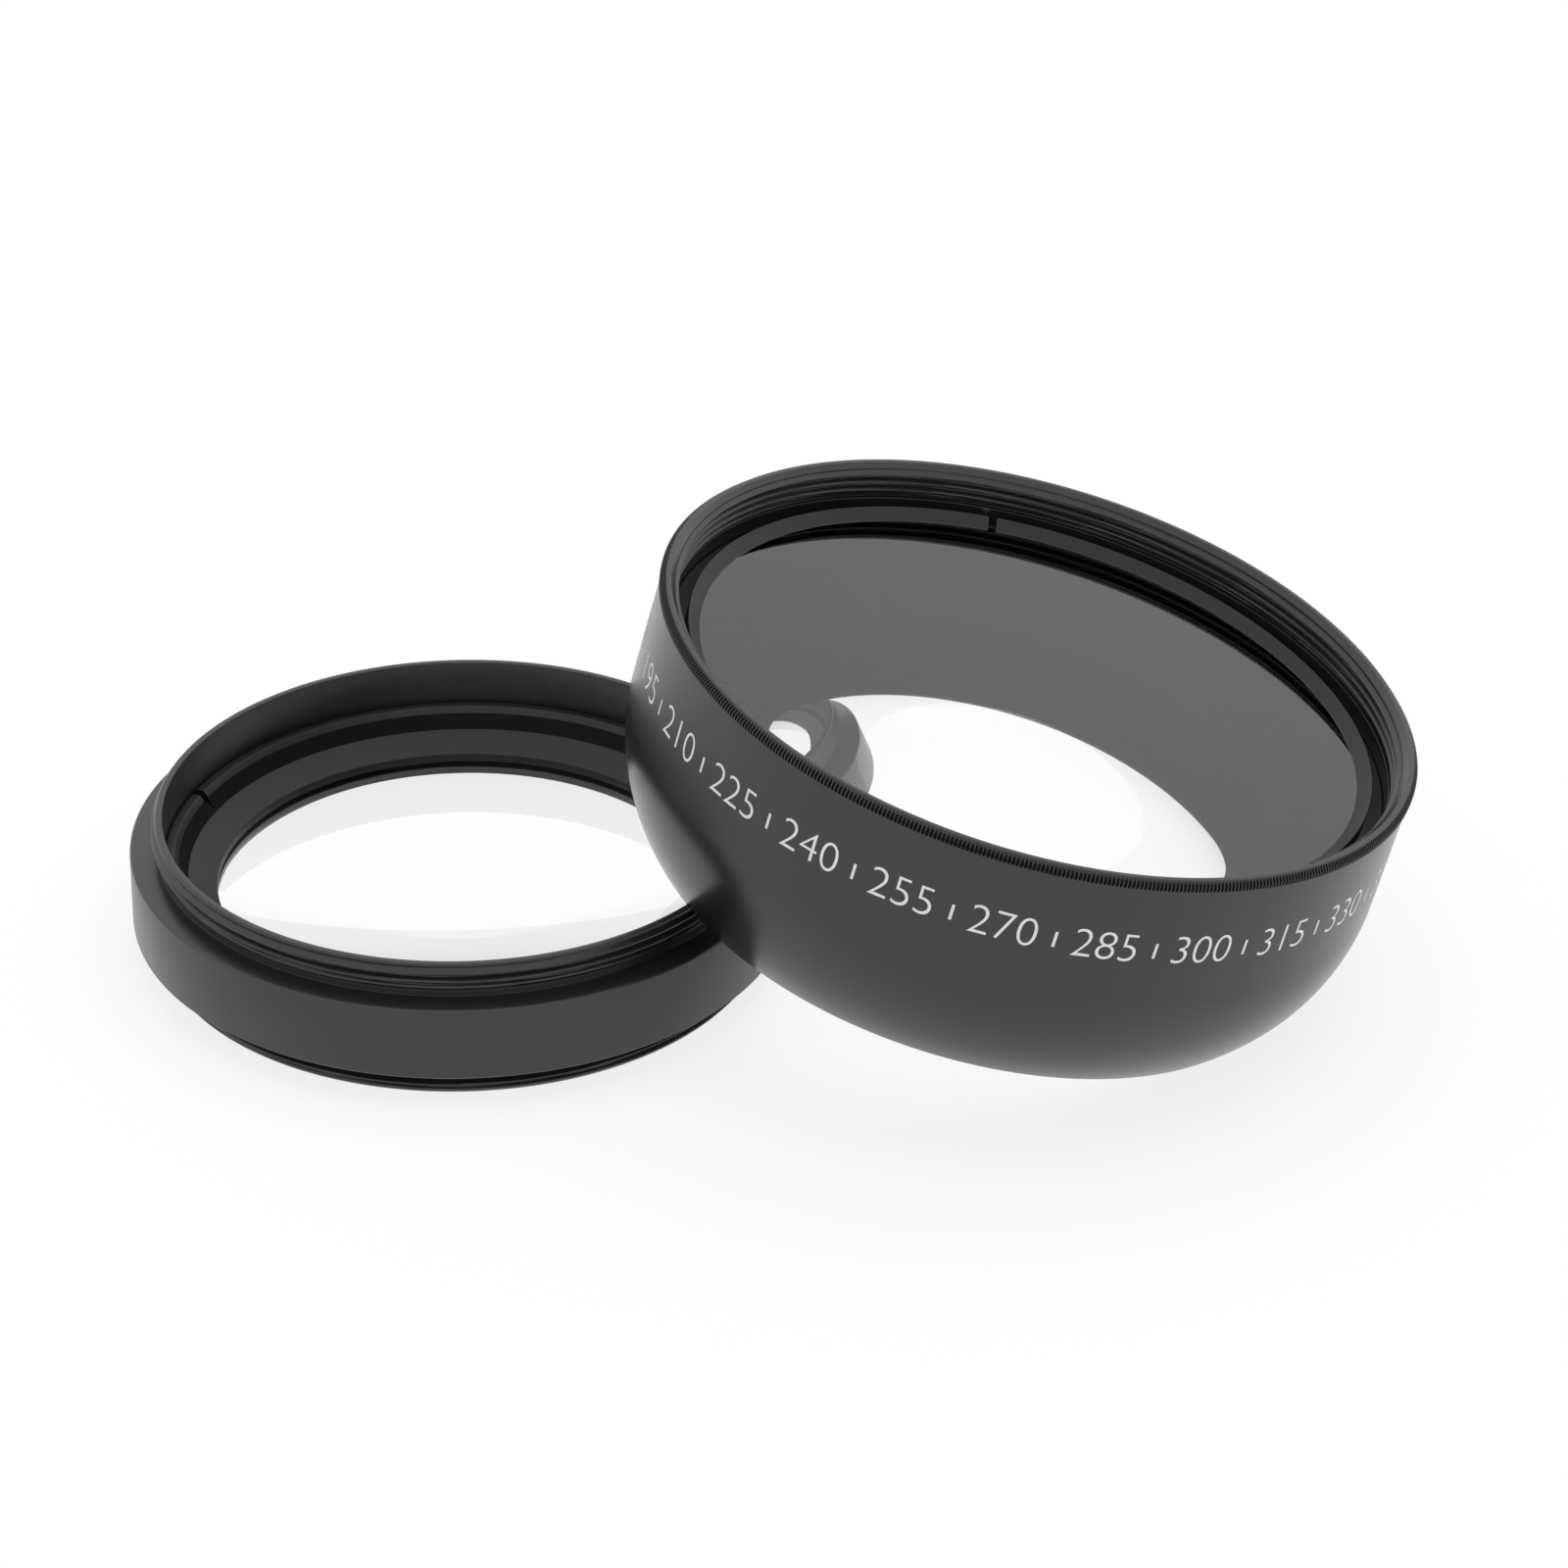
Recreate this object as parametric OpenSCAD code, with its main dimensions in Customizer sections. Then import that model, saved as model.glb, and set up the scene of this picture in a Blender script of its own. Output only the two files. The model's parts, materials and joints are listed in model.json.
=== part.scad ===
// Wide-angle conversion lens, unscrewed into its two sections.
// The rear section stands on its lower collar with its axis on Z.
// The front section leans on it: its rear rim rests on the rear section's upper collar
// at two points, and on the ground at the far end.
// Millimetres, Z up. The origin is the centre of the rear section's lower face.

/* [Threads] */

// Major diameter of the thread that both sections share
coupling_d = 52; // [46:1:58]
// How much wider the filter thread in the front rim is, in diameter
filter_step_d = 10; // [8:0.5:12]
// Depth of the filter thread, with its entry chamfer
filter_thread_h = 3.1; // [2.9:0.05:3.6]
// Depth of the rear thread in the front section
rear_thread_h = 3.2; // [3:0.1:4]

/* [Rear section] */

// How far the rear body stands out beyond its threads
body_proud = 1.8; // [1.2:0.1:3]
// Height of the rear body between its collars
rear_body_h = 6.5; // [6:0.1:9]
// Height of the lower threaded collar
lower_collar_h = 2.65; // [2:0.05:3]
// Height of the upper threaded collar
upper_collar_h = 3; // [2.6:0.1:4]
// Wall of the upper collar
upper_collar_wall = 1.05; // [0.8:0.05:1.4]
// Wall of the lower collar
lower_collar_wall = 2.5; // [2:0.1:3]
// Height of the top of the ledge that carries the rear lens
rear_ledge_z = 2.8; // [2.6:0.1:3.4]
// Thickness of that ledge
rear_ledge_h = 1.2; // [1:0.1:1.4]
// How far that ledge reaches in under the rear lens
rear_ledge_w = 3.3; // [2:0.1:4]

/* [Rear lens and its ring] */

// Edge thickness of the rear lens
rear_lens_edge_h = 1.9; // [1.5:0.1:2.2]
// Radius of the rear lens's upper face
rear_lens_top_radius = 220; // [180:5:400]
// Radius of the rear lens's lower face
rear_lens_bottom_radius = 220; // [180:5:400]
// Width of the step between the rear lens's pocket and the ring's bore
rear_pocket_step = 1; // [0.6:0.1:1.4]
// Height of the rear retaining ring
rear_ring_h = 3.6; // [3.2:0.05:3.8]
// Width of that ring's flat top
rear_ring_top_w = 0.8; // [0.5:0.05:1.2]
// Width of the steep upper part of its funnel
rear_funnel_w = 1.1; // [0.8:0.1:1.4]
// Width of the flatter lower part of its funnel
rear_lip_w = 2.4; // [1.8:0.1:2.8]
// Height at which the funnel turns flatter, above the glass
rear_ring_step_h = 1.85; // [1.4:0.05:2]
// Height of the plain wall of the ring's bore
rear_ring_lip_h = 0.7; // [0.4:0.05:1]

/* [Front section] */

// Overall height of the front section
front_h = 22.3; // [20:0.1:26]
// Depth below the rim at which the wall starts to curve in
wall_straight_h = 11.2; // [9:0.1:12]
// Wall outside the filter thread
rim_wall = 1.05; // [0.8:0.05:1.6]
// Height of the knurled band at the rim
knurl_h = 0.95; // [0.8:0.05:3]
// How far the knurled band stands out from the wall below it
knurl_proud = 0.2; // [0.1:0.05:0.4]
// Width of the flat foot round the rear thread's mouth
foot_w = 1.2; // [0.8:0.1:2]
// Bearing of the two points at which the front section rests on the rear one, measured
// at its own axis from the line between the two sections
rest_bearing = 32.6; // [26:0.1:38]

/* [Front lens and its ring] */

// Depth of the front lens's flat front face below the rim
front_glass_depth = 3.9; // [3.8:0.05:4.1]
// Radius of its hollow rear face
front_lens_hollow_radius = 36; // [33:0.5:60]
// How far the ledge below the front lens reaches in past the rear thread
front_ledge_w = 4; // [3:0.1:5]
// Thickness of that ledge
front_ledge_h = 1.2; // [1.1:0.1:1.6]
// Depth of the front retaining ring's top below the rim
front_ring_depth = 3.05; // [3:0.05:3.2]
// How far the ring's flange stays inside the filter thread
flange_inset = 0.5; // [0.45:0.05:0.8]
// How far the flange stands out beyond the ring's raised collar
flange_w = 1.3; // [1:0.1:1.6]
// Wall of that collar round the glass
front_collar_wall = 0.65; // [0.5:0.05:0.9]
// How far the ring's lip reaches over the glass
front_lip_w = 0.5; // [0.3:0.05:1]
// Depth of the flange's top below the rim
front_flange_depth = 4.6; // [4.4:0.05:4.8]
// Thickness of the flange
front_flange_h = 1; // [0.8:0.1:1.4]

/* [Details] */

// Chamfer of the rim's outer edge
rim_chamfer = 0.45; // [0.2:0.05:0.6]
// Chamfer at the mouths of the two female threads
mouth_chamfer = 0.4; // [0.2:0.05:0.6]
// Chamfer of the body's and the collars' outer edges
edge_chamfer = 0.25; // [0.1:0.05:0.3]
// Width of the relief grooves at the roots of the two male threads
relief_w = 0.6; // [0.4:0.05:0.8]
// Depth of those grooves
relief_depth = 0.4; // [0.2:0.05:0.5]
// Width of the spanner slots in both retaining rings
slot_w = 0.8; // [0.6:0.1:1.2]
// Depth of the spanner slots
slot_depth = 1; // [0.6:0.1:1.2]
// Bearing of the front ring's slots about its axis, in degrees
front_slot_angle = 99.5; // [0:0.5:179.5]
// Bearing of the rear ring's slots about its axis, in degrees
rear_slot_angle = 164; // [0:1:179]

/* [Fits] */

// Radial play between the male and the female thread
thread_play = 0.05; // [0.02:0.01:0.1]
// Radial play between a lens and its seat
lens_play = 0.05; // [0.02:0.01:0.1]
// Radial play between a retaining ring and its bore
ring_play = 0.05; // [0.02:0.01:0.1]
// Gap left between the two sections where one rests on the other
rest_gap = 0.1; // [0.05:0.05:0.2]

/* [Hidden] */

$fn = 96;

// Room that a cutting shape has past the face it cuts
over = 1;
// Room below the front ring's flange, so that the ring bears on the glass alone
under_flange = 0.1;

coupling_r = coupling_d / 2;
male_r = coupling_r - thread_play;
female_r = coupling_r + thread_play;

rear_body_r = coupling_r + body_proud;
shoulder_z = lower_collar_h + rear_body_h;
collar_top_z = shoulder_z + upper_collar_h;
upper_bore_r = coupling_r - upper_collar_wall;
lower_bore_r = coupling_r - lower_collar_wall;
rear_pocket_r = upper_bore_r - rear_pocket_step;
rear_lens_r = rear_pocket_r - lens_play;
rear_aperture_r = rear_pocket_r - rear_ledge_w;
rear_ring_r = upper_bore_r - ring_play;
rear_ring_mouth_r = rear_ring_r - rear_ring_top_w;
rear_ring_step_r = rear_ring_mouth_r - rear_funnel_w;
rear_ring_bore_r = rear_ring_step_r - rear_lip_w;
rear_ring_z = rear_ledge_z + rear_lens_edge_h;

filter_r = coupling_r + filter_step_d / 2;
wall_r = filter_r + rim_wall;
rim_r = wall_r + knurl_proud;
flange_r = filter_r - flange_inset;
front_collar_r = flange_r - flange_w;
front_pocket_r = front_collar_r - front_collar_wall;
front_lens_r = front_pocket_r - lens_play;
front_ring_bore_r = front_pocket_r - front_lip_w;
front_aperture_r = female_r - front_ledge_w;
front_seat_z = rear_thread_h + front_ledge_h;
front_glass_z = front_h - front_glass_depth;
front_ring_top_z = front_h - front_ring_depth;
flange_top_z = front_h - front_flange_depth;
flange_z = flange_top_z - front_flange_h;
ring_seat_z = flange_z - under_flange;
filter_root_z = front_h - filter_thread_h;

// The curved wall in section: an arc that leaves the straight wall smoothly and ends at
// the foot's edge
mouth_r = female_r + mouth_chamfer;
foot_r = mouth_r + foot_w;
wall_curve_h = front_h - wall_straight_h;
wall_curve_w = wall_r - foot_r;
wall_curve_radius = (pow(wall_curve_w, 2) + pow(wall_curve_h, 2)) / (2 * wall_curve_w);
wall_curve_x = wall_r - wall_curve_radius;

// Where the front section stands: its foot's edge is on the ground at the far end, and
// the mouth of its rear thread rests on the rear section's upper collar at two points,
// which sets how far it leans
rest_along = mouth_r * cos(rest_bearing);
rest_y = mouth_r * sin(rest_bearing);
lean = asin((collar_top_z + rest_gap) / (foot_r + rest_along));
front_z = foot_r * sin(lean);
collar_lip_r = male_r - edge_chamfer;
rest_x = sqrt(pow(collar_lip_r, 2) - pow(rest_y, 2));
front_x = rest_x + rest_along * cos(lean);

// A turned ring cut by a profile of radius and height
module turned() {
    rotate_extrude() children();
}

// A cylinder with a chamfer round its top edge, its bottom edge or both
module edged_disc(r, h, top, bottom) {
    turned() polygon([
        [0, 0],
        [r - bottom, 0],
        [r, bottom],
        [r, h - top],
        [r - top, h],
        [0, h],
    ]);
}

// The groove that a thread runs out into
module relief(r, z) {
    translate([0, 0, z]) difference() {
        cylinder(r = r + over, h = relief_w);
        translate([0, 0, -over]) cylinder(r = r - relief_depth, h = relief_w + 2 * over);
    }
}

// Two spanner slots across a retaining ring whose top face is at z
module spanner_slots(r, z, angle) {
    rotate([0, 0, angle]) translate([-r - over, -slot_w / 2, z - slot_depth])
        cube([2 * (r + over), slot_w, slot_depth + over]);
}

// The face of a lens: the part of a ball of the given radius that lies above its chord
module dome(ball_r, chord_r) {
    sagitta = ball_r - sqrt(pow(ball_r, 2) - pow(chord_r, 2));
    intersection() {
        translate([0, 0, sagitta - ball_r]) sphere(r = ball_r, $fn = 360);
        cylinder(r = chord_r, h = sagitta + over);
    }
}

module rear_barrel() {
    color([0.10, 0.10, 0.11]) difference() {
        union() {
            edged_disc(male_r, lower_collar_h + over, 0, 0);
            translate([0, 0, lower_collar_h])
                edged_disc(rear_body_r, rear_body_h, edge_chamfer, edge_chamfer);
            translate([0, 0, shoulder_z - over])
                edged_disc(male_r, upper_collar_h + over, edge_chamfer, 0);
        }
        relief(male_r, lower_collar_h - relief_w);
        relief(male_r, shoulder_z);
        translate([0, 0, -over])
            cylinder(r = lower_bore_r, h = rear_ledge_z - rear_ledge_h + over);
        cylinder(r = rear_aperture_r, h = collar_top_z);
        translate([0, 0, rear_ledge_z]) cylinder(r = rear_pocket_r, h = collar_top_z);
        translate([0, 0, rear_ring_z]) cylinder(r = upper_bore_r, h = collar_top_z);
    }
}

module rear_lens() {
    color([0.80, 0.86, 0.88, 0.35]) translate([0, 0, rear_ledge_z]) {
        cylinder(r = rear_lens_r, h = rear_lens_edge_h);
        translate([0, 0, rear_lens_edge_h])
            dome(rear_lens_top_radius, rear_ring_bore_r - lens_play);
        mirror([0, 0, 1]) dome(rear_lens_bottom_radius, rear_aperture_r - lens_play);
    }
}

// A funnel that turns flatter halfway down and ends in a short plain bore
module rear_retaining_ring() {
    color([0.24, 0.24, 0.25]) translate([0, 0, rear_ring_z]) difference() {
        turned() polygon([
            [rear_ring_bore_r, 0],
            [rear_ring_r, 0],
            [rear_ring_r, rear_ring_h - edge_chamfer],
            [rear_ring_r - edge_chamfer, rear_ring_h],
            [rear_ring_mouth_r, rear_ring_h],
            [rear_ring_step_r, rear_ring_step_h],
            [rear_ring_bore_r, rear_ring_lip_h],
        ]);
        spanner_slots(rear_ring_r, rear_ring_h, rear_slot_angle);
    }
}

// Carries a piece of the front section from its own frame, whose origin is the centre of
// the section's rear face, to where it leans on the rear section
module leaning() {
    translate([front_x, 0, front_z]) rotate([0, lean, 0]) children();
}

// Half of the front section's outline: the foot, the curved wall, the straight wall and
// the knurled band, which is left plain here
module front_outline() {
    intersection() {
        square([wall_r, wall_curve_h]);
        union() {
            translate([wall_curve_x, wall_curve_h]) circle(r = wall_curve_radius, $fn = 180);
            square([wall_curve_x, wall_curve_h]);
        }
    }
    translate([0, wall_curve_h]) square([wall_r, wall_straight_h - knurl_h]);
    polygon([
        [0, front_h - knurl_h],
        [rim_r, front_h - knurl_h],
        [rim_r, front_h - rim_chamfer],
        [rim_r - rim_chamfer, front_h],
        [0, front_h],
    ]);
}

// The mouth of a female thread: a short cone that opens upwards from z
module mouth(r, z) {
    translate([0, 0, z])
        cylinder(r1 = r, r2 = r + mouth_chamfer + over, h = mouth_chamfer + over);
}

module front_barrel() {
    color([0.10, 0.10, 0.11]) leaning() difference() {
        turned() front_outline();
        translate([0, 0, -over]) cylinder(r = female_r, h = rear_thread_h + over);
        mirror([0, 0, 1]) mouth(female_r, -mouth_chamfer);
        cylinder(r = front_aperture_r, h = front_h);
        translate([0, 0, front_seat_z]) cylinder(r = front_pocket_r, h = front_h);
        translate([0, 0, ring_seat_z]) cylinder(r = flange_r + ring_play, h = front_h);
        translate([0, 0, filter_root_z]) cylinder(r = filter_r, h = front_h);
        mouth(filter_r, front_h - mouth_chamfer);
    }
}

// A thick block of glass with a flat front and a deeply hollow back
module front_lens() {
    color([0.80, 0.86, 0.88, 0.35]) leaning() translate([0, 0, front_seat_z]) difference() {
        cylinder(r = front_lens_r, h = front_glass_z - front_seat_z);
        dome(front_lens_hollow_radius, front_aperture_r - lens_play);
    }
}

// A ring with three parts: a bevelled lip that holds the glass from above, a skirt round
// the glass, and a threaded flange at the skirt's foot
module front_retaining_ring() {
    color([0.24, 0.24, 0.25]) leaning() difference() {
        turned() polygon([
            [front_ring_bore_r, front_glass_z],
            [front_pocket_r, front_glass_z],
            [front_pocket_r, flange_z],
            [flange_r, flange_z],
            [flange_r, flange_top_z],
            [front_collar_r, flange_top_z],
            [front_collar_r, front_ring_top_z],
        ]);
        spanner_slots(front_collar_r, front_ring_top_z, front_slot_angle);
    }
}

rear_barrel();
rear_lens();
rear_retaining_ring();
front_barrel();
front_lens();
front_retaining_ring();
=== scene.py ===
import json
import math

import bmesh
import bpy
from mathutils import Matrix, Vector


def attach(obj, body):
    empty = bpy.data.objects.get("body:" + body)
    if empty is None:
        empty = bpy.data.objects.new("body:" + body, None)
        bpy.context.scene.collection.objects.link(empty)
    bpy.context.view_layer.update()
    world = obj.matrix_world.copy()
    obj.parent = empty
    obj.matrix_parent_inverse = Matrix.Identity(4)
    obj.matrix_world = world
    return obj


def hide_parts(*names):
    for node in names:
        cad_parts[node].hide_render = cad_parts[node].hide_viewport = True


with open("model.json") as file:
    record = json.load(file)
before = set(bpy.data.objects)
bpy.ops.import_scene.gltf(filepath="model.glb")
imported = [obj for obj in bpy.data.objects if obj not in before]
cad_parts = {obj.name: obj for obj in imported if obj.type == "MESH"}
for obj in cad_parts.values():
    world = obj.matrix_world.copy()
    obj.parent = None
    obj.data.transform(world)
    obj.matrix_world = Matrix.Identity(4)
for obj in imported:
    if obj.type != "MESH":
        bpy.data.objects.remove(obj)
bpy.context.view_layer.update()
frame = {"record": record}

MM = 0.001

# Sizes in millimetres, the same as the part's own
COLLAR_R = 25.95
LOWER_COLLAR_H = 2.65
SHOULDER_Z = 9.15
COLLAR_TOP_Z = 12.15
BODY_R = 27.8
LOWER_BORE_R = 23.5
REAR_APERTURE_R = 20.65
REAR_LEDGE_Z = 2.8
REAR_LEDGE_H = 1.2
REAR_LENS_R = 23.9
REAR_LENS_EDGE_H = 1.9
REAR_LENS_CURVE_R = 220.0
REAR_RING_Z = 4.7
REAR_RING_R = 24.9
REAR_RING_H = 3.6
REAR_RING_MOUTH_R = 24.1
REAR_RING_STEP_R = 23.0
REAR_RING_STEP_H = 1.85
REAR_RING_BORE_R = 20.6
REAR_RING_LIP_H = 0.7
UPPER_BORE_R = 24.95
REAR_SLOT_ANGLE = 164.0

RIM_R = 32.25
WALL_R = 32.05
KNURL_H = 0.95
FRONT_H = 22.3
WALL_CURVE_H = 11.1
WALL_CURVE_R = 16.201
FILTER_R = 31.0
FILTER_ROOT_Z = 19.2
REAR_THREAD_R = 26.05
REAR_THREAD_H = 3.2
FRONT_APERTURE_R = 22.05
FRONT_SEAT_Z = 4.4
FRONT_LENS_R = 28.5
FRONT_GLASS_Z = 18.4
FRONT_HOLLOW_R = 36.0
FRONT_RING_BORE_R = 28.05
FRONT_RING_TOP_Z = 19.25
FRONT_COLLAR_R = 29.2
FLANGE_R = 30.5
FLANGE_TOP_Z = 17.7
FLANGE_Z = 16.7
RING_SEAT_Z = 16.6
FRONT_SLOT_ANGLE = 99.5

RIM_CHAMFER = 0.45
MOUTH_CHAMFER = 0.4
RELIEF_W = 0.6
SLOT_W = 0.8
SLOT_DEPTH = 1.0
PLAY = 0.05

# Sizes in millimetres of what only the scene has: helices, teeth and lines of finish
THREAD_PITCH = 0.75
THREAD_DEPTH = 0.42
THREAD_SUNK = 0.01
THREAD_OVERLAP = 0.02
KNURL_DEPTH = 0.24
KNURL_BASE = 0.05
NOTCH_SHADE_DEPTH = 0.09
REAR_BEVEL_H = 0.55
BLACK_EDGE_W = 0.05
BLACK_SEAT_H = 0.01

# Shapes of one ridge of a thread and of one notch of the knurl, as shares of their depth
RIDGE_TOP = 1.25
RIDGE_SLOPE = 3.0
KNURL_NOTCH = [0.0, 0.3, 1.0, 1.0, 0.3]
KNURL_TEETH = 600

# How the meshes are finished
MERGE_DISTANCE = 1e-5
SHARP_ANGLE = math.radians(32)
STRAIGHT_ANGLE = math.radians(176)
ROUNDED_SHARE = 0.45

# Where the front section stands: the filter thread's mount gives its axis and mouth
mounts = {m["name"]: m for m in frame["record"]["mounts"]}
front_axis = Vector(mounts["filter_thread"]["axis"]).normalized()
front_mouth = Vector(mounts["filter_thread"]["pos_m"])
front_origin = front_mouth - front_axis * (FRONT_H - MOUTH_CHAMFER) * MM
front_across = Vector((0, 1, 0)).cross(front_axis)
FRONT = Matrix.Translation(front_origin) @ Matrix(
    (front_across, Vector((0, 1, 0)), front_axis)
).transposed().to_4x4()
REAR = Matrix.Identity(4)


# Outlines


def rounded(points, steps=3):
    """The closed outline through (r, z, corner radius) points, each corner as a short arc."""
    outline = []
    count = len(points)
    for i, (r, z, radius) in enumerate(points):
        here = Vector((r, z))
        before = Vector(points[i - 1][:2]) - here
        after = Vector(points[(i + 1) % count][:2]) - here
        turn = before.angle(after)
        if radius <= 0 or turn > STRAIGHT_ANGLE:
            outline.append((r, z))
            continue
        room = min(before.length, after.length) * ROUNDED_SHARE
        cut = min(radius / math.tan(turn / 2), room)
        start = here + before.normalized() * cut
        end = here + after.normalized() * cut
        for k in range(steps + 1):
            t = k / steps
            point = start * (1 - t) ** 2 + here * (2 * t * (1 - t)) + end * t**2
            outline.append((point.x, point.y))
    return outline


def arc(centre_r, centre_z, radius, start, end, steps):
    """Points of an arc in section, with no rounding of their own."""
    angles = [math.radians(start + (end - start) * k / steps) for k in range(steps + 1)]
    return [
        (centre_r + radius * math.cos(a), centre_z + radius * math.sin(a), 0)
        for a in angles
    ]


# Meshes


def finished(name, bm, place, material, nodes=(), second=None):
    """Makes an object of a mesh in millimetres that is drawn in a section's own frame.

    nodes are those that it stands in for. second is another material, with the function
    of radius and height that chooses its faces.
    """
    if second:
        other, chosen = second
        for face in bm.faces:
            middle = face.calc_center_median()
            if chosen(math.hypot(middle.x, middle.y), middle.z):
                face.material_index = 1
    bmesh.ops.remove_doubles(bm, verts=bm.verts, dist=MERGE_DISTANCE)
    bmesh.ops.recalc_face_normals(bm, faces=bm.faces)
    for face in bm.faces:
        face.smooth = True
    for edge in bm.edges:
        if len(edge.link_faces) == 2 and edge.calc_face_angle(0) > SHARP_ANGLE:
            edge.smooth = False
    mesh = bpy.data.meshes.new(name)
    bmesh.ops.scale(bm, vec=(MM, MM, MM), verts=bm.verts)
    bmesh.ops.transform(bm, matrix=place, verts=bm.verts)
    bm.to_mesh(mesh)
    bm.free()
    mesh.materials.append(material)
    if second:
        mesh.materials.append(other)
    obj = bpy.data.objects.new(name, mesh)
    bpy.context.collection.objects.link(obj)
    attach(obj, "root")
    if nodes:
        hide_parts(*nodes)


def grid(bm, rows, closed_rows=False):
    """Faces over rows of points, each row one turn round the axis. Returns the vertices."""
    verts = [[bm.verts.new(p) for p in row] for row in rows]
    last_row = len(rows) if closed_rows else len(rows) - 1
    for i in range(last_row):
        lower = verts[i]
        upper = verts[(i + 1) % len(rows)]
        width = len(lower)
        for j in range(width):
            k = (j + 1) % width
            bm.faces.new((lower[j], lower[k], upper[k], upper[j]))
    return verts


def on_circle(r, z, angle):
    return (r * math.cos(angle), r * math.sin(angle), z)


def lathe(outline, segments=360):
    """A turned body with this outline."""
    bm = bmesh.new()
    angles = [math.tau * j / segments for j in range(segments)]
    rows = [[on_circle(r, z, a) for a in angles] for r, z in outline]
    grid(bm, rows, closed_rows=True)
    return bm


def slotted_ring(outline, floor, inner_r, slot_angle, segments=480):
    """A turned ring with two spanner slots, which cut it down to the floor outside inner_r."""
    outer_r = max(r for r, z in outline)
    cut = [(max(r, inner_r), floor) if z > floor else (r, z) for r, z in outline]
    half = math.asin(SLOT_W / 2 / outer_r)
    slots = [math.radians(slot_angle), math.radians(slot_angle) + math.pi]
    columns = []
    for k in range(2):
        start = slots[k] + half
        end = slots[(k + 1) % 2] - half + (math.tau if k else 0)
        steps = segments // 2
        columns += [(start + (end - start) * i / steps, outline) for i in range(steps + 1)]
        columns += [(end, cut), (end + half, cut), (end + 2 * half, cut)]
    bm = bmesh.new()
    rows = [[on_circle(*section[i], a) for a, section in columns] for i in range(len(outline))]
    grid(bm, rows, closed_rows=True)
    return bm


def thread(wall_r, crest_r, low, high, shift=0.0, fade_low=0.5, fade_high=0.5, segments=360,
           steps=14):
    """A helical thread: a wall whose radius rises and falls once for each pitch of the helix."""
    bm = bmesh.new()
    count = max(4, round((high - low) / THREAD_PITCH * steps))
    rows = []
    for i in range(count + 1):
        z = low + (high - low) * i / count
        row = []
        for j in range(segments):
            angle = math.tau * j / segments
            phase = ((z - shift) / THREAD_PITCH - j / segments) % 1.0
            ridge = min(1.0, max(0.0, RIDGE_TOP - abs(phase - 0.5) * RIDGE_SLOPE))
            ends = min(1.0, (z - low) / fade_low, (high - z) / fade_high)
            r = wall_r + (crest_r - wall_r) * ridge * max(0.0, ends)
            row.append(on_circle(r, z, angle))
        rows.append(row)
    grid(bm, rows)
    return bm


def lens(outline, segments=256):
    """A turned glass whose outline starts and ends on its axis."""
    bm = bmesh.new()
    angles = [math.tau * j / segments for j in range(segments)]
    rows = [[on_circle(r, z, a) for a in angles] for r, z in outline[1:-1]]
    verts = grid(bm, rows)
    for row, (r, z) in ((verts[0], outline[0]), (verts[-1], outline[-1])):
        pole = bm.verts.new((0, 0, z))
        for j in range(segments):
            bm.faces.new((row[j], row[(j + 1) % segments], pole))
    return bm


def face_of_lens(chord_r, chord_z, curve_r, steps=48):
    """Points of a lens face from the axis to its chord. A positive radius bulges upwards."""
    depth = abs(curve_r) - math.sqrt(curve_r**2 - chord_r**2)
    points = []
    for k in range(steps + 1):
        r = chord_r * k / steps
        rise = math.sqrt(curve_r**2 - r**2) - abs(curve_r) + depth
        points.append((r, chord_z + math.copysign(rise, curve_r)))
    return points


# Materials


def new_material(name):
    material = bpy.data.materials.new(name)
    material.use_nodes = True
    nodes = material.node_tree.nodes
    shader = nodes["Principled BSDF"]
    return material, nodes, material.node_tree.links, shader


def math_node(nodes, links, operation, first, second):
    """A maths node of two values, each an output or a number."""
    node = nodes.new("ShaderNodeMath")
    node.operation = operation
    for socket, value in zip(node.inputs, (first, second)):
        if isinstance(value, float):
            socket.default_value = value
        else:
            links.new(value, socket)
    return node.outputs[0]


def section_coordinates(nodes, links, place):
    """Coordinates in the frame of the section that the surface belongs to."""
    back = place.inverted()
    coordinates = nodes.new("ShaderNodeTexCoord")
    mapping = nodes.new("ShaderNodeMapping")
    mapping.inputs["Location"].default_value = back.to_translation()
    mapping.inputs["Rotation"].default_value = back.to_euler()
    links.new(coordinates.outputs["Object"], mapping.inputs["Vector"])
    return mapping.outputs["Vector"]


# Values of the anodised finish, its lengths in metres
GRAIN_SCALE = 5200.0
GRAIN_HEIGHT = 0.00002
PATCH_SCALE = 120.0
ROUGHNESS_SPREAD = 0.05
TOOL_LINE_SCALE = 2600.0
TOOL_LINE_HEIGHT = 0.00001
TOOL_LINE_WANDER = 0.6
# Reach, thresholds and gain of the painted highlight along the edges
EDGE_HIGHLIGHT_REACH = 0.00012
HIGHLIGHT_STARTS_AT = 0.99
HIGHLIGHT_FULL_AT = 0.80
HIGHLIGHT_GAIN = 3.2
HIGHLIGHT_LIFT = 0.02
ANODISED_IOR = 1.6


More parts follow.
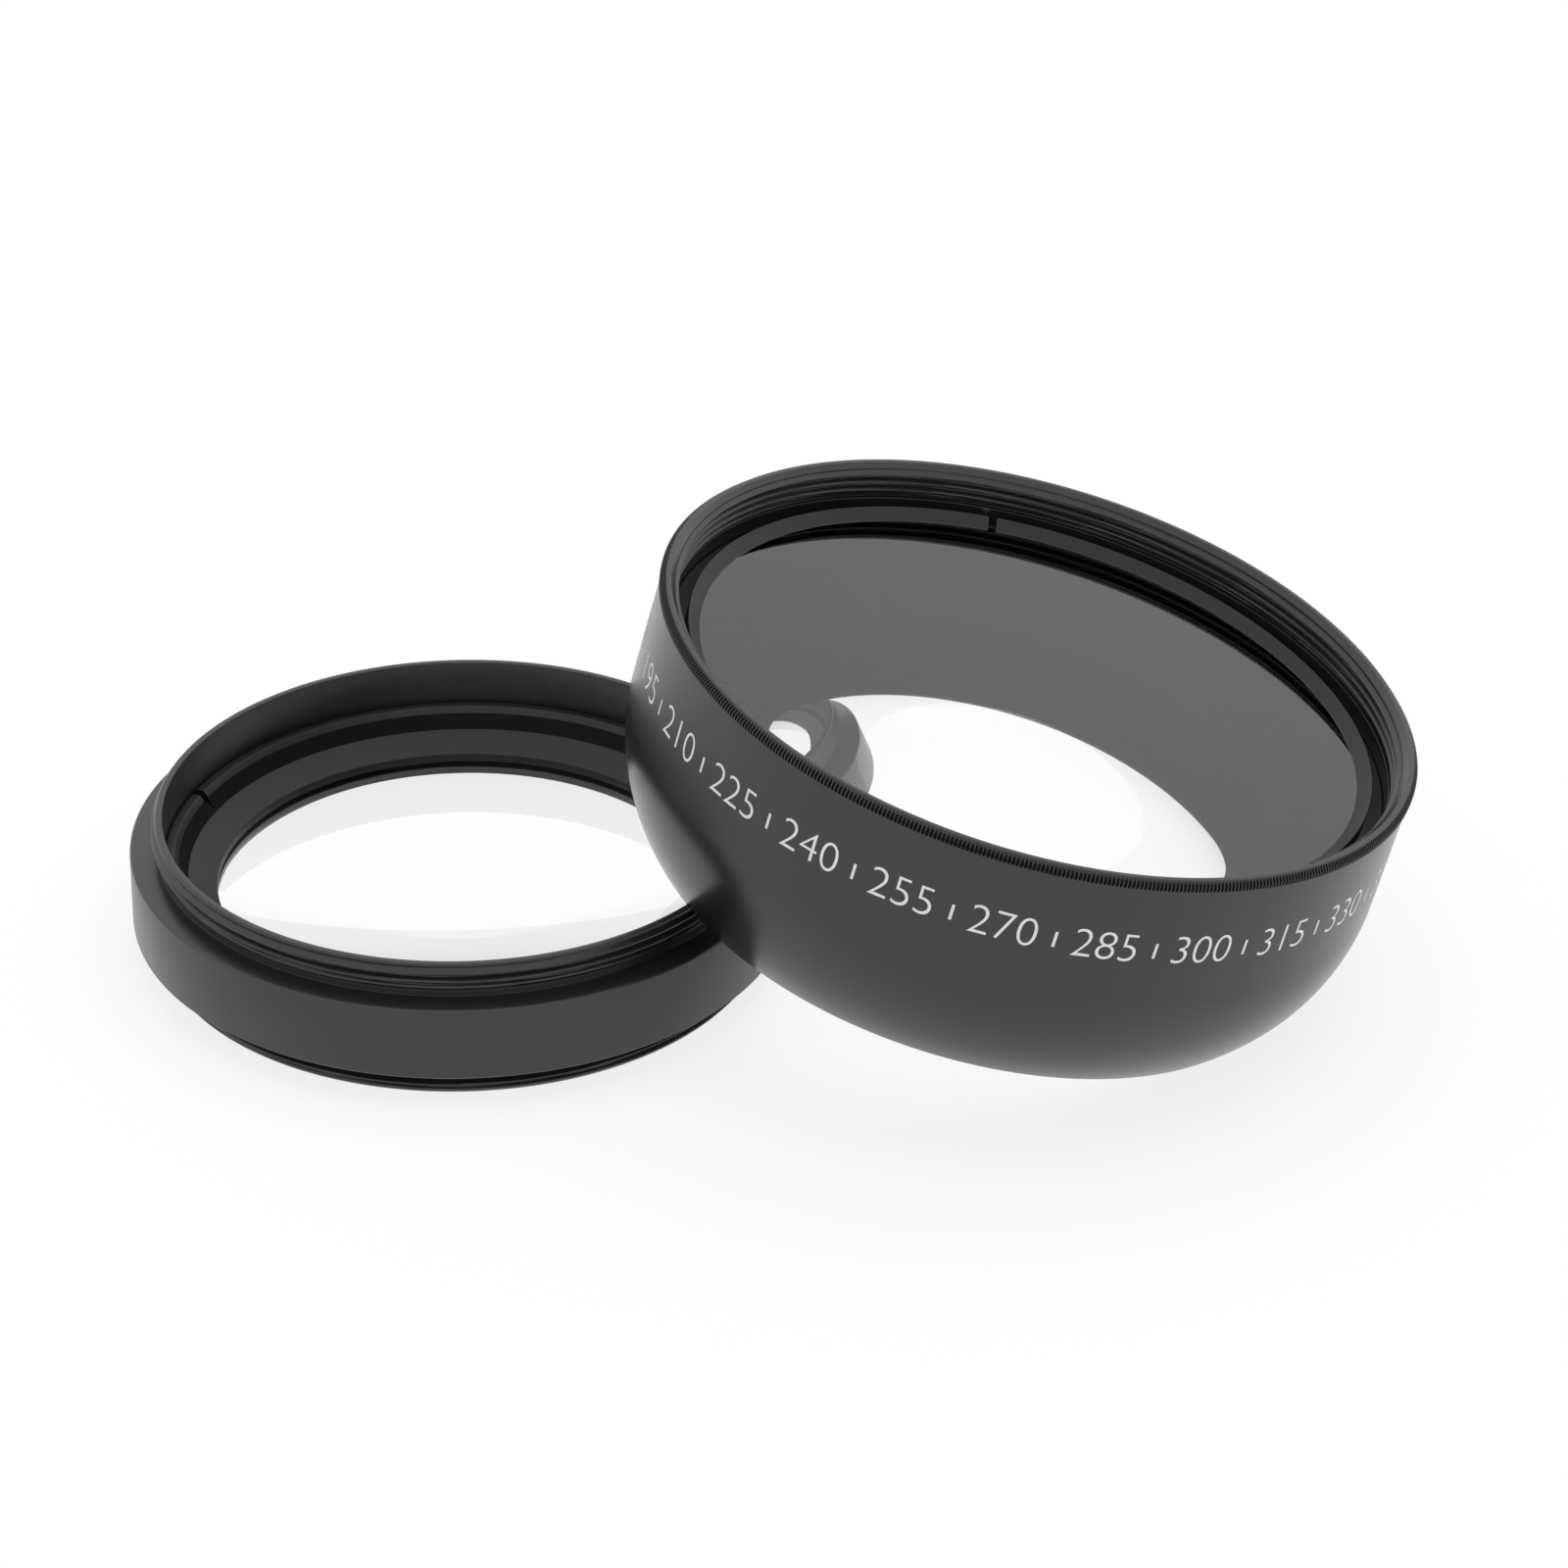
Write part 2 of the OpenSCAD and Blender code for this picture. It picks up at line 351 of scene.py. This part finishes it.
def anodised(name, place, base, roughness, grain, line_strength=0.0, specular=0.5):
    """Turned aluminium under a black anodic layer: fine grain, soft patches, edges painted paler
    as a highlight.

    line_strength is that of the fine lines that the tool leaves round the axis.
    """
    material, nodes, links, shader = new_material(name)
    vector = section_coordinates(nodes, links, place)
    fine = nodes.new("ShaderNodeTexNoise")
    fine.inputs["Scale"].default_value = GRAIN_SCALE
    fine.inputs["Detail"].default_value = 3.0
    broad = nodes.new("ShaderNodeTexNoise")
    broad.inputs["Scale"].default_value = PATCH_SCALE
    broad.inputs["Detail"].default_value = 5.0
    links.new(vector, fine.inputs["Vector"])
    links.new(vector, broad.inputs["Vector"])
    rough = nodes.new("ShaderNodeMapRange")
    rough.inputs["To Min"].default_value = roughness - ROUGHNESS_SPREAD
    rough.inputs["To Max"].default_value = roughness + ROUGHNESS_SPREAD
    links.new(broad.outputs["Fac"], rough.inputs["Value"])
    links.new(rough.outputs["Result"], shader.inputs["Roughness"])
    # Painted highlight: where the bevelled normal turns from the true one, the base colour is
    # lightened in soft patches
    geometry = nodes.new("ShaderNodeNewGeometry")
    bevel = nodes.new("ShaderNodeBevel")
    bevel.samples = 4
    bevel.inputs["Radius"].default_value = EDGE_HIGHLIGHT_REACH
    turn = nodes.new("ShaderNodeVectorMath")
    turn.operation = "DOT_PRODUCT"
    links.new(bevel.outputs["Normal"], turn.inputs[0])
    links.new(geometry.outputs["Normal"], turn.inputs[1])
    edge = nodes.new("ShaderNodeMapRange")
    edge.inputs["From Min"].default_value = HIGHLIGHT_STARTS_AT
    edge.inputs["From Max"].default_value = HIGHLIGHT_FULL_AT
    links.new(turn.outputs["Value"], edge.inputs["Value"])
    edge_highlight = math_node(nodes, links, "MULTIPLY", edge.outputs["Result"], broad.outputs["Fac"])
    highlight_base = [channel * HIGHLIGHT_GAIN + HIGHLIGHT_LIFT for channel in base]
    tone = nodes.new("ShaderNodeMixRGB")
    tone.inputs["Color1"].default_value = (*base, 1)
    tone.inputs["Color2"].default_value = (*highlight_base, 1)
    links.new(edge_highlight, tone.inputs["Fac"])
    links.new(tone.outputs["Color"], shader.inputs["Base Color"])
    bump = nodes.new("ShaderNodeBump")
    bump.inputs["Strength"].default_value = grain
    bump.inputs["Distance"].default_value = GRAIN_HEIGHT
    links.new(fine.outputs["Fac"], bump.inputs["Height"])
    links.new(bump.outputs["Normal"], shader.inputs["Normal"])
    if line_strength:
        lines = nodes.new("ShaderNodeTexWave")
        lines.wave_type = "BANDS"
        lines.bands_direction = "Z"
        lines.inputs["Scale"].default_value = TOOL_LINE_SCALE
        lines.inputs["Distortion"].default_value = TOOL_LINE_WANDER
        links.new(vector, lines.inputs["Vector"])
        lined = nodes.new("ShaderNodeBump")
        lined.inputs["Strength"].default_value = line_strength
        lined.inputs["Distance"].default_value = TOOL_LINE_HEIGHT
        links.new(lines.outputs["Fac"], lined.inputs["Height"])
        links.new(bump.outputs["Normal"], lined.inputs["Normal"])
        links.new(lined.outputs["Normal"], shader.inputs["Normal"])
    shader.inputs["IOR"].default_value = ANODISED_IOR
    shader.inputs["Specular IOR Level"].default_value = specular
    return material


# Values of the glass and the dust on it
GLASS_IOR = 1.52
COAT_WEIGHT = 0.4
DUST_SCALE = 900.0
DUST_STARTS_AT = 0.72
DUST_FULL_AT = 0.85
DUSTY_ROUGHNESS = 0.05
GLASS_SHADOW_TINT = (0.92, 0.93, 0.93, 1)


def clear_glass(name):
    """Polished, coated glass with a trace of dust on its coat, clear to shadow rays."""
    material, nodes, links, shader = new_material(name)
    shader.inputs["Base Color"].default_value = (1, 1, 1, 1)
    shader.inputs["Transmission Weight"].default_value = 1.0
    shader.inputs["IOR"].default_value = GLASS_IOR
    shader.inputs["Roughness"].default_value = 0.0
    shader.inputs["Coat Weight"].default_value = COAT_WEIGHT
    coordinates = nodes.new("ShaderNodeTexCoord")
    dust = nodes.new("ShaderNodeTexNoise")
    dust.inputs["Scale"].default_value = DUST_SCALE
    dust.inputs["Detail"].default_value = 6.0
    links.new(coordinates.outputs["Object"], dust.inputs["Vector"])
    film = nodes.new("ShaderNodeMapRange")
    film.inputs["From Min"].default_value = DUST_STARTS_AT
    film.inputs["From Max"].default_value = DUST_FULL_AT
    film.inputs["To Min"].default_value = 0.0
    film.inputs["To Max"].default_value = DUSTY_ROUGHNESS
    links.new(dust.outputs["Fac"], film.inputs["Value"])
    links.new(film.outputs["Result"], shader.inputs["Coat Roughness"])
    path = nodes.new("ShaderNodeLightPath")
    clear = nodes.new("ShaderNodeBsdfTransparent")
    clear.inputs["Color"].default_value = GLASS_SHADOW_TINT
    mix = nodes.new("ShaderNodeMixShader")
    links.new(path.outputs["Is Shadow Ray"], mix.inputs["Fac"])
    links.new(shader.outputs["BSDF"], mix.inputs[1])
    links.new(clear.outputs["BSDF"], mix.inputs[2])
    links.new(mix.outputs["Shader"], nodes["Material Output"].inputs["Surface"])
    return material


# Values of the white marks
PAINT_GRAIN_SCALE = 3000.0
PAINT_DARK = (0.66, 0.66, 0.65, 1)
PAINT_PALE = (0.86, 0.86, 0.85, 1)
PAINT_ROUGHNESS = 0.55
PAINT_BUMP = 0.15


def painted_white(name):
    """The white paint of the marks."""
    material, nodes, links, shader = new_material(name)
    noise = nodes.new("ShaderNodeTexNoise")
    noise.inputs["Scale"].default_value = PAINT_GRAIN_SCALE
    coordinates = nodes.new("ShaderNodeTexCoord")
    links.new(coordinates.outputs["Object"], noise.inputs["Vector"])
    tone = nodes.new("ShaderNodeValToRGB")
    tone.color_ramp.elements[0].color = PAINT_DARK
    tone.color_ramp.elements[1].color = PAINT_PALE
    links.new(noise.outputs["Fac"], tone.inputs["Fac"])
    links.new(tone.outputs["Color"], shader.inputs["Base Color"])
    shader.inputs["Roughness"].default_value = PAINT_ROUGHNESS
    bump = nodes.new("ShaderNodeBump")
    bump.inputs["Strength"].default_value = PAINT_BUMP
    bump.inputs["Distance"].default_value = GRAIN_HEIGHT
    links.new(noise.outputs["Fac"], bump.inputs["Height"])
    links.new(bump.outputs["Normal"], shader.inputs["Normal"])
    return material


# Each with its base colour, roughness, grain, tool lines and, where not plain, its shine
REAR_BLACK = anodised("rear_black_anodised", REAR, (0.011, 0.011, 0.012), 0.30, 0.2, 0.1)
# The rear threads are a darker copy of the barrel's anodising, painted shade so their valleys
# read black
REAR_THREADS_SHADED = anodised("rear_thread_shaded_black", REAR, (0.006, 0.006, 0.007), 0.30, 0.2, 0.1)
REAR_RING = anodised("rear_ring_anodised", REAR, (0.014, 0.014, 0.015), 0.40, 0.3, 0.3, 0.3)
# The ring's inner slope gets a darker, matte copy of its anodising: painted shade
REAR_RISER_SHADE = anodised("rear_ring_riser_painted_shade", REAR, (0.003, 0.003, 0.003), 0.60, 0.3, 0.2, 0.1)
FRONT_BLACK = anodised("front_black_anodised", FRONT, (0.011, 0.011, 0.012), 0.24, 0.2, 0.1)
# The front threads are a darker copy of the barrel's anodising, painted shade so their valleys
# read black
FRONT_THREADS_SHADED = anodised("front_thread_shaded_black", FRONT, (0.008, 0.008, 0.009), 0.34, 0.2, 0.1)
FRONT_RING = anodised("front_ring_anodised", FRONT, (0.012, 0.012, 0.013), 0.40, 0.2, 0.1, 0.25)
# Matte black of the barrel's inside, also used as painted shade in the knurl's notches
MATTE_BLACK_AND_NOTCH_SHADE = anodised("inner_matte_black_and_notch_shade", FRONT, (0.006, 0.006, 0.006), 0.8, 0.1, 0.1, 0.1)
GLASS_EDGE = anodised("blackened_glass_edge", FRONT, (0.004, 0.004, 0.004), 0.8, 0.05, 0.0, 0.0)
GLASS = clear_glass("lens_glass")
WHITE = painted_white("white_marks")


# The rear section

rear_outline = rounded(
    [
        (LOWER_BORE_R, 0, 0.15),
        (COLLAR_R - THREAD_DEPTH, 0, 0.1),
        (COLLAR_R - THREAD_DEPTH, LOWER_COLLAR_H, 0.05),
        (BODY_R, LOWER_COLLAR_H, 0.25),
        (BODY_R, SHOULDER_Z, 0.28),
        (COLLAR_R - THREAD_DEPTH, SHOULDER_Z, 0.05),
        (COLLAR_R - THREAD_DEPTH, COLLAR_TOP_Z, 0.12),
        (UPPER_BORE_R, COLLAR_TOP_Z, 0.12),
        (UPPER_BORE_R, REAR_RING_Z, 0),
        (REAR_LENS_R + PLAY, REAR_RING_Z, 0),
        (REAR_LENS_R + PLAY, REAR_LEDGE_Z, 0),
        (REAR_APERTURE_R, REAR_LEDGE_Z, 0.08),
        (REAR_APERTURE_R, REAR_LEDGE_Z - REAR_LEDGE_H, 0.08),
        (LOWER_BORE_R, REAR_LEDGE_Z - REAR_LEDGE_H, 0),
    ]
)
finished("rear_barrel_turned", lathe(rear_outline), REAR, REAR_BLACK,
         ["rear_barrel"])
finished(
    "rear_lower_thread",
    thread(COLLAR_R - THREAD_DEPTH, COLLAR_R, 0.02, LOWER_COLLAR_H - RELIEF_W),
    REAR, REAR_THREADS_SHADED,
)
finished(
    "rear_upper_thread",
    thread(COLLAR_R - THREAD_DEPTH, COLLAR_R, SHOULDER_Z + RELIEF_W, COLLAR_TOP_Z - 0.08),
    REAR, REAR_THREADS_SHADED,
)
rear_top = REAR_LEDGE_Z + REAR_LENS_EDGE_H
lower_face = face_of_lens(REAR_APERTURE_R - PLAY, REAR_LEDGE_Z, -REAR_LENS_CURVE_R)
upper_face = face_of_lens(REAR_RING_BORE_R - PLAY, rear_top, REAR_LENS_CURVE_R)
rear_lens_outline = (
    lower_face
    + [(REAR_LENS_R, REAR_LEDGE_Z), (REAR_LENS_R, rear_top)]
    + upper_face[::-1]
)
finished("rear_lens_glass", lens(rear_lens_outline), REAR, GLASS, ["rear_lens"],
         (GLASS_EDGE, lambda r, z: r > REAR_LENS_R - BLACK_EDGE_W))
ring_top = REAR_RING_Z + REAR_RING_H
ring_step_z = REAR_RING_Z + REAR_RING_STEP_H
riser_top = ring_top - REAR_BEVEL_H
funnel_slope = (REAR_RING_MOUTH_R - REAR_RING_STEP_R) / (REAR_RING_H - REAR_RING_STEP_H)
rear_ring_outline = rounded(
    [
        (REAR_RING_BORE_R, REAR_RING_Z, 0),
        (REAR_RING_R, REAR_RING_Z, 0),
        (REAR_RING_R, ring_top, 0.25),
        (REAR_RING_MOUTH_R, ring_top, 0.1),
        (REAR_RING_MOUTH_R - funnel_slope * REAR_BEVEL_H, riser_top, 0),
        (REAR_RING_STEP_R, ring_step_z, 0.1),
        (REAR_RING_BORE_R, REAR_RING_Z + REAR_RING_LIP_H, 0.08),
    ]
)
slot_floor = ring_top - SLOT_DEPTH
funnel_r = REAR_RING_MOUTH_R - funnel_slope * SLOT_DEPTH
finished(
    "rear_ring_slotted",
    slotted_ring(rear_ring_outline, slot_floor, funnel_r, REAR_SLOT_ANGLE),
    REAR, REAR_RING, ["rear_retaining_ring"],
    # The inner slope between the step and the bevel is painted dark as shade
    (REAR_RISER_SHADE, lambda r, z: ring_step_z < z < riser_top and r < REAR_RING_MOUTH_R),
)


# The front section

curve_x = WALL_R - WALL_CURVE_R
foot_angle = -math.degrees(math.asin(WALL_CURVE_H / WALL_CURVE_R))
knurl_root = RIM_R - KNURL_DEPTH - KNURL_BASE
front_outline = rounded(
    arc(curve_x, WALL_CURVE_H, WALL_CURVE_R, foot_angle, 0, 40)
    + [
        (WALL_R, FRONT_H - KNURL_H, 0),
        (knurl_root, FRONT_H - KNURL_H + 0.02, 0),
        (knurl_root, FRONT_H - RIM_CHAMFER - 0.1, 0),
        (RIM_R - RIM_CHAMFER, FRONT_H, 0.03),
        (FILTER_R + MOUTH_CHAMFER, FRONT_H, 0.05),
        (FILTER_R + THREAD_SUNK, FRONT_H - MOUTH_CHAMFER, 0),
        (FILTER_R + THREAD_SUNK, FILTER_ROOT_Z, 0),
        (FLANGE_R + PLAY, FILTER_ROOT_Z, 0.05),
        (FLANGE_R + PLAY, RING_SEAT_Z, 0),
        (FRONT_LENS_R + PLAY, RING_SEAT_Z, 0),
        (FRONT_LENS_R + PLAY, FRONT_SEAT_Z, 0),
        (FRONT_APERTURE_R, FRONT_SEAT_Z, 0),
        (FRONT_APERTURE_R, REAR_THREAD_H, 0.08),
        (REAR_THREAD_R, REAR_THREAD_H, 0),
        (REAR_THREAD_R, MOUTH_CHAMFER, 0),
        (REAR_THREAD_R + MOUTH_CHAMFER, 0, 0.05),
    ]
)
finished("front_barrel_turned", lathe(front_outline, 480), FRONT, FRONT_BLACK,
         ["front_barrel"],
         (MATTE_BLACK_AND_NOTCH_SHADE, lambda r, z: 0.05 < z < FRONT_SEAT_Z + 0.1 and r < REAR_THREAD_R + 0.1))
finished(
    "front_filter_thread",
    thread(FILTER_R, FILTER_R - THREAD_DEPTH, FILTER_ROOT_Z - THREAD_OVERLAP,
           FRONT_H - MOUTH_CHAMFER, shift=0.55, fade_low=0.15, fade_high=0.3),
    FRONT, FRONT_THREADS_SHADED,
)
finished(
    "front_rear_thread",
    thread(REAR_THREAD_R, REAR_THREAD_R - THREAD_DEPTH, MOUTH_CHAMFER, REAR_THREAD_H - 0.3),
    FRONT, FRONT_THREADS_SHADED,
)


def knurl():
    """The straight knurl: fine teeth round the rim that run out on its chamfer."""
    bm = bmesh.new()
    low = FRONT_H - KNURL_H
    chamfer_z = FRONT_H - RIM_CHAMFER
    # Height, radius of the teeth and share of the full depth of the notches between them
    levels = [
        (low, WALL_R - 0.02, 0.0),
        (low + 0.06, RIM_R - 0.04, 0.7),
        (low + 0.14, RIM_R, 1.0),
        (chamfer_z, RIM_R, 1.0),
        (chamfer_z + RIM_CHAMFER * 0.5, RIM_R - RIM_CHAMFER * 0.5, 0.9),
        (FRONT_H - 0.04, RIM_R - RIM_CHAMFER + 0.04, 0.45),
        (FRONT_H, RIM_R - RIM_CHAMFER, 0.0),
    ]
    steps = len(KNURL_NOTCH)
    columns = KNURL_TEETH * steps
    rows = []
    for z, r, share in levels:
        cut = [KNURL_DEPTH * share * depth for depth in KNURL_NOTCH]
        rows.append([
            on_circle(r - cut[j % steps], z, math.tau * j / columns) for j in range(columns)
        ])
    grid(bm, rows)
    return bm


def in_notch(r, z):
    """Whether a face of the knurl lies deep between two teeth, where it is painted dark as shade.
    """
    crest = min(RIM_R, RIM_R + FRONT_H - RIM_CHAMFER - z)
    return r < crest - NOTCH_SHADE_DEPTH


# Faces deep in the knurl's notches are painted dark as shade
finished("front_knurl", knurl(), FRONT, FRONT_BLACK, (), (MATTE_BLACK_AND_NOTCH_SHADE, in_notch))

front_lens_outline = face_of_lens(FRONT_APERTURE_R - PLAY, FRONT_SEAT_Z, FRONT_HOLLOW_R) + [
    (FRONT_LENS_R, FRONT_SEAT_Z),
    (FRONT_LENS_R, FRONT_GLASS_Z),
    (0, FRONT_GLASS_Z),
]
finished(
    "front_lens_glass", lens(front_lens_outline), FRONT, GLASS, ["front_lens"],
    (GLASS_EDGE, lambda r, z: r > FRONT_LENS_R - BLACK_EDGE_W or z < FRONT_SEAT_Z + BLACK_SEAT_H),
)
front_ring_outline = rounded(
    [
        (FRONT_RING_BORE_R, FRONT_GLASS_Z, 0),
        (FRONT_LENS_R + PLAY, FRONT_GLASS_Z, 0),
        (FRONT_LENS_R + PLAY, FLANGE_Z, 0),
        (FLANGE_R, FLANGE_Z, 0),
        (FLANGE_R, FLANGE_TOP_Z, 0.1),
        (FRONT_COLLAR_R, FLANGE_TOP_Z, 0.05),
        (FRONT_COLLAR_R, FRONT_RING_TOP_Z, 0.1),
    ]
)
finished(
    "front_ring_slotted",
    slotted_ring(front_ring_outline, FRONT_RING_TOP_Z - SLOT_DEPTH, FRONT_LENS_R + PLAY,
                 FRONT_SLOT_ANGLE),
    FRONT, FRONT_RING, ["front_retaining_ring"],
)


# Plain numbers and ticks round the front section

MARK_HEIGHT = 2.75
MARK_DEPTH = 6.6
MARK_STEP = 15
MARK_LIFT = 0.012
DIGIT_SHARE = 0.72
STROKE_OFFSET = -0.06
TICK_WIDTH = 0.24
TICK_HEIGHT = 1.4


def marks():
    """Degrees round the barrel, as numbers with ticks between them, a hair above the wall."""
    bm = bmesh.new()
    centre_z = FRONT_H - MARK_DEPTH
    for number in range(0, 360, MARK_STEP):
        curve = bpy.data.curves.new("mark", "FONT")
        curve.body = str(number)
        curve.size = MARK_HEIGHT / DIGIT_SHARE
        curve.align_x = "CENTER"
        curve.align_y = "CENTER"
        curve.offset = STROKE_OFFSET
        text = bpy.data.objects.new("mark", curve)
        bpy.context.collection.objects.link(text)
        bpy.context.view_layer.update()
        mesh = text.evaluated_get(bpy.context.evaluated_depsgraph_get()).to_mesh()
        start = len(bm.verts)
        bm.from_mesh(mesh)
        bm.verts.ensure_lookup_table()
        for vert in bm.verts[start:]:
            wrap(vert, number, centre_z)
        bpy.data.objects.remove(text)
        bpy.data.curves.remove(curve)
        tick = bmesh.ops.create_grid(bm, x_segments=1, y_segments=4, size=0.5)
        for vert in tick["verts"]:
            vert.co.x *= TICK_WIDTH
            vert.co.y *= TICK_HEIGHT
            wrap(vert, number + MARK_STEP / 2, centre_z)
    bmesh.ops.triangulate(bm, faces=bm.faces)
    return bm


def wrap(vert, degrees, centre_z):
    """Bends a point of a flat mark round the barrel at that bearing."""
    z = centre_z + vert.co.y
    wall_r = WALL_R
    if z < WALL_CURVE_H:
        wall_r = curve_x + math.sqrt(WALL_CURVE_R**2 - (WALL_CURVE_H - z) ** 2)
    angle = math.radians(degrees) + vert.co.x / WALL_R
    vert.co = on_circle(wall_r + MARK_LIFT, z, angle)


finished("front_marks", marks(), FRONT, WHITE)


# Floor, backdrop, light and camera


def seen_white(name, base, share, share_through):
    """A pale lit surface, part of which camera and mirror see as plain white.

    share_through is the part that is seen so through glass.
    """
    material, nodes, links, shader = new_material(name)
    shader.inputs["Base Color"].default_value = (base, base, base, 1)
    shader.inputs["Roughness"].default_value = 0.9
    glow = nodes.new("ShaderNodeEmission")
    path = nodes.new("ShaderNodeLightPath").outputs
    seen = math_node(nodes, links, "MAXIMUM", path["Is Camera Ray"], path["Is Glossy Ray"])
    direct = math_node(nodes, links, "MULTIPLY", seen, share)
    through = math_node(nodes, links, "MULTIPLY", path["Is Transmission Ray"], share_through)
    amount = math_node(nodes, links, "MAXIMUM", direct, through)
    mix = nodes.new("ShaderNodeMixShader")
    links.new(amount, mix.inputs["Fac"])
    links.new(shader.outputs["BSDF"], mix.inputs[1])
    links.new(glow.outputs["Emission"], mix.inputs[2])
    links.new(mix.outputs["Shader"], nodes["Material Output"].inputs["Surface"])
    return material


# Values of the stage, its lengths in metres
FLOOR_HALF = 3.0
FLOOR_TONE = 0.9
FLOOR_WHITE_SHARE = 0.82
FLOOR_WHITE_THROUGH_GLASS = 0.97
WORLD_LEVEL = 0.75
LIGHT_PLACE = (0.1, 0.15, 0.7)
LIGHT_AIM = (0.03, 0, 0)
LIGHT_SIZE = 0.6
LIGHT_WATTS = 3.0
CAMERA_PLACE = Vector((0.05913, -0.42396, 0.25964))
CAMERA_AIM = Vector((0.0252, 0.02705, 0))
CAMERA_ROLL = 0.39
FOCAL_LENGTH = 135.0

floor_mesh = bpy.data.meshes.new("floor")
floor_mesh.from_pydata(
    [(-FLOOR_HALF, -FLOOR_HALF, 0), (FLOOR_HALF, -FLOOR_HALF, 0),
     (FLOOR_HALF, FLOOR_HALF, 0), (-FLOOR_HALF, FLOOR_HALF, 0)],
    [], [(0, 1, 2, 3)],
)
floor_mesh.materials.append(
    seen_white("pale_floor", FLOOR_TONE, FLOOR_WHITE_SHARE, FLOOR_WHITE_THROUGH_GLASS)
)
floor = bpy.data.objects.new("floor", floor_mesh)
bpy.context.collection.objects.link(floor)

world = bpy.data.worlds.new("studio")
bpy.context.scene.world = world
world.use_nodes = True
world_nodes = world.node_tree.nodes
world_links = world.node_tree.links
lighting = world_nodes["Background"]
lighting.inputs["Color"].default_value = (1, 1, 1, 1)
lighting.inputs["Strength"].default_value = WORLD_LEVEL
white = world_nodes.new("ShaderNodeBackground")
white.inputs["Color"].default_value = (1, 1, 1, 1)
white.inputs["Strength"].default_value = 1.0
ray = world_nodes.new("ShaderNodeLightPath").outputs
clear_seen = math_node(world_nodes, world_links, "MAXIMUM", ray["Is Camera Ray"],
                       ray["Is Transmission Ray"])
any_seen = math_node(world_nodes, world_links, "MAXIMUM", clear_seen, ray["Is Glossy Ray"])
world_mix = world_nodes.new("ShaderNodeMixShader")
world_links.new(any_seen, world_mix.inputs["Fac"])
world_links.new(lighting.outputs["Background"], world_mix.inputs[1])
world_links.new(white.outputs["Background"], world_mix.inputs[2])
world_links.new(world_mix.outputs["Shader"], world_nodes["World Output"].inputs["Surface"])


def softbox(name, place, aim, size, watts):
    """A square area light that mirrors and glass don't show."""
    light = bpy.data.lights.new(name, "AREA")
    light.shape = "SQUARE"
    light.size = size
    light.energy = watts
    obj = bpy.data.objects.new(name, light)
    bpy.context.collection.objects.link(obj)
    obj.location = place
    obj.rotation_euler = (Vector(aim) - Vector(place)).to_track_quat("-Z", "Y").to_euler()
    obj.visible_glossy = False
    obj.visible_transmission = False


softbox("top_light", LIGHT_PLACE, LIGHT_AIM, LIGHT_SIZE, LIGHT_WATTS)

camera_data = bpy.data.cameras.new("camera")
camera_data.sensor_width = 36.0
camera_data.lens = FOCAL_LENGTH
camera_data.clip_start = 0.01
camera = bpy.data.objects.new("camera", camera_data)
bpy.context.collection.objects.link(camera)
bpy.context.scene.camera = camera
facing = (CAMERA_AIM - CAMERA_PLACE).to_track_quat("-Z", "Y").to_matrix().to_4x4()
camera.matrix_world = (
    Matrix.Translation(CAMERA_PLACE) @ facing @ Matrix.Rotation(math.radians(CAMERA_ROLL), 4, "Z")
)

bpy.context.scene.view_settings.view_transform = "Standard"
